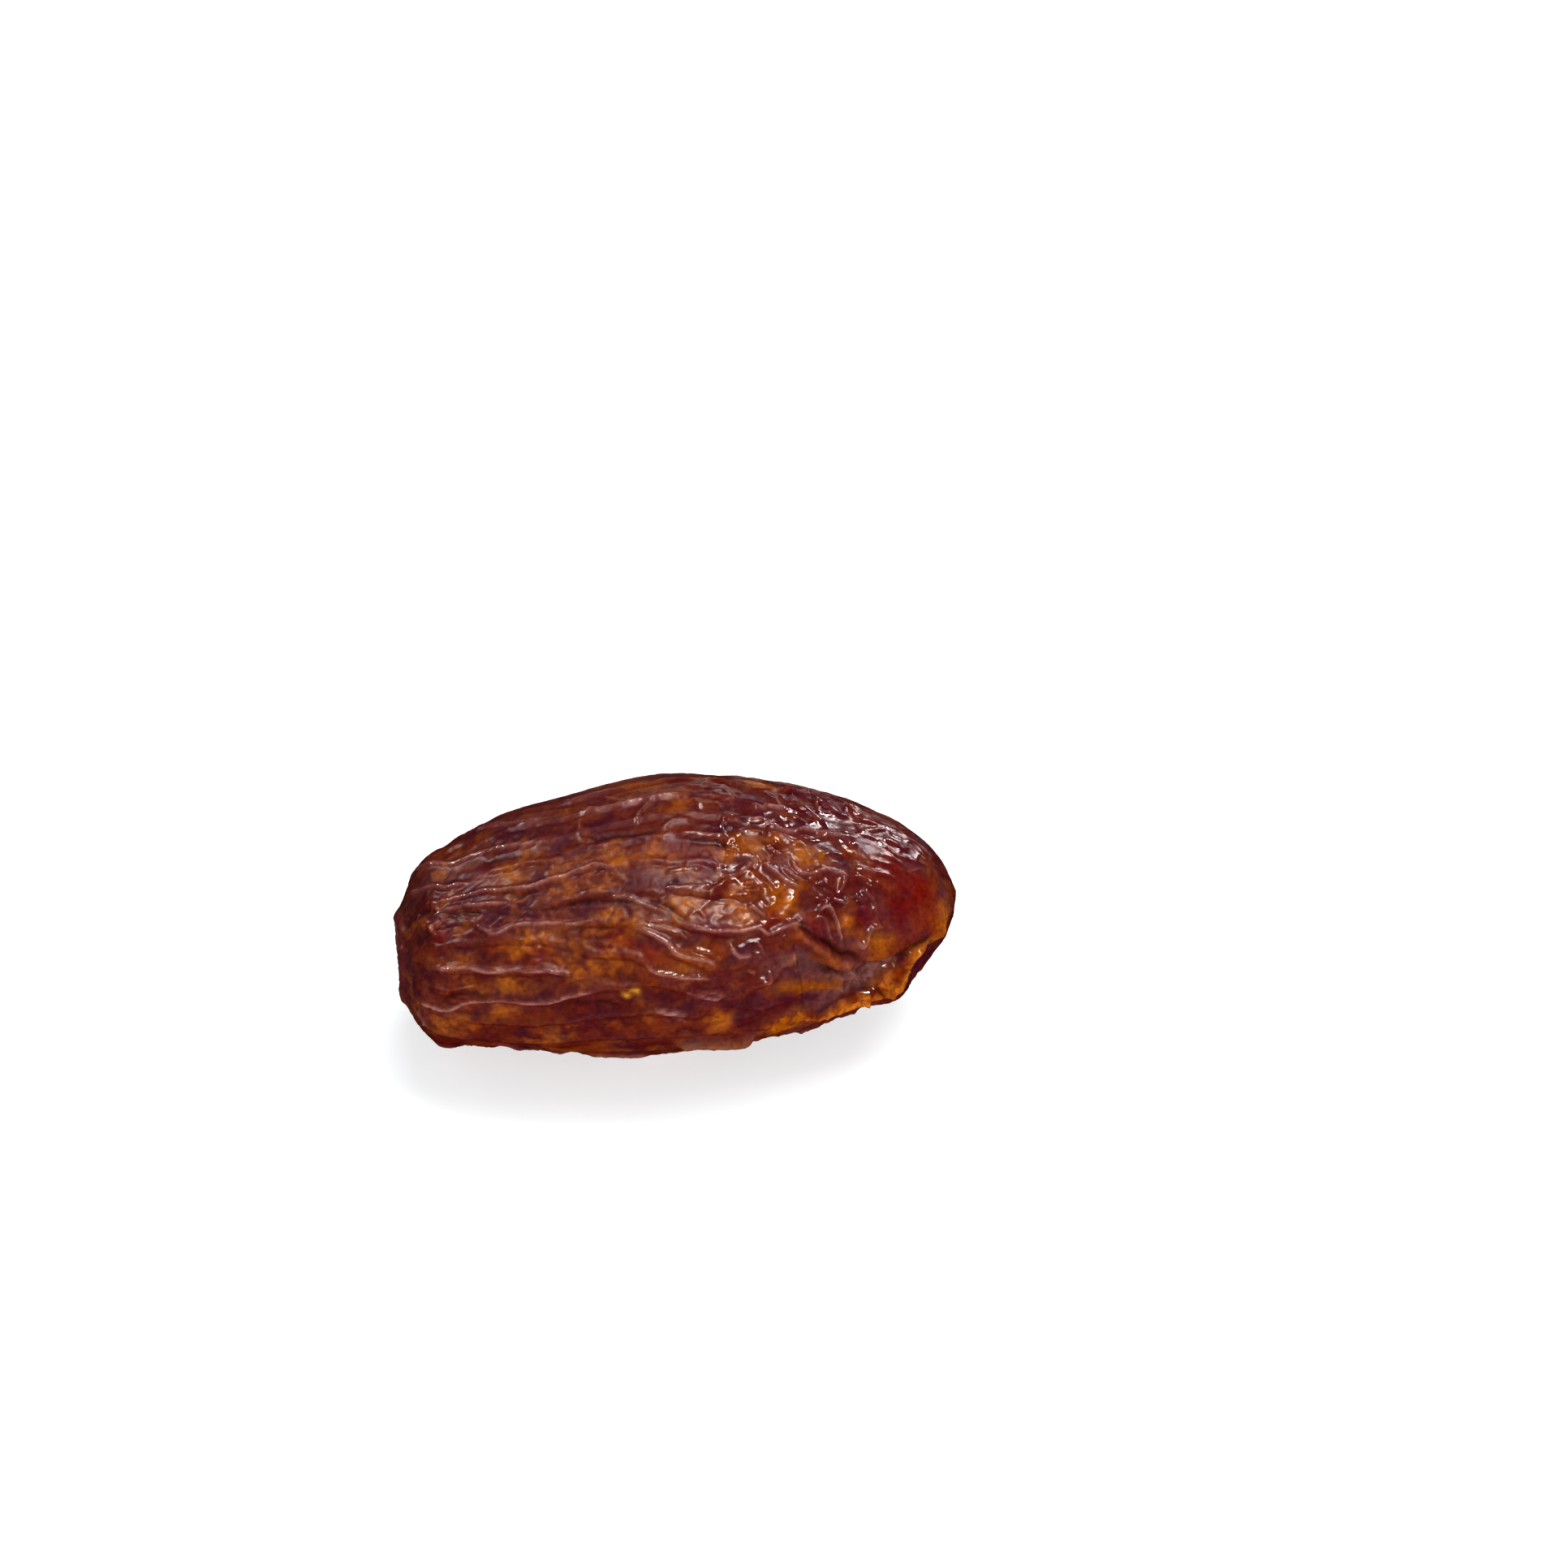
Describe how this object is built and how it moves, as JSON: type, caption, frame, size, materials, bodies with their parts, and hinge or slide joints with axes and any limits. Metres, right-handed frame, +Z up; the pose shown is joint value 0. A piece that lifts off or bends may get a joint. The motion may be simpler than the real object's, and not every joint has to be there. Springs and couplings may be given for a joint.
{
  "type": "medjool date",
  "caption": "Dried date fruit with lengthwise folded skin, a torn lip near the tip, a stem scar, and a small flat underside to rest on.",
  "frame": {"origin": "on the surface that the fruit rests on, under the middle of its box", "axes": "+X from the stem end to the tip, -Y towards the side with the tear, +Z up"},
  "size_m": [0.048, 0.025, 0.0214],
  "materials": {
    "date_skin": "glossy wrinkled skin, mottled amber, red-brown and dark plum"
  },
  "bodies": {
    "root": {"date_fruit": "date_skin"}
  },
  "joints": []
}
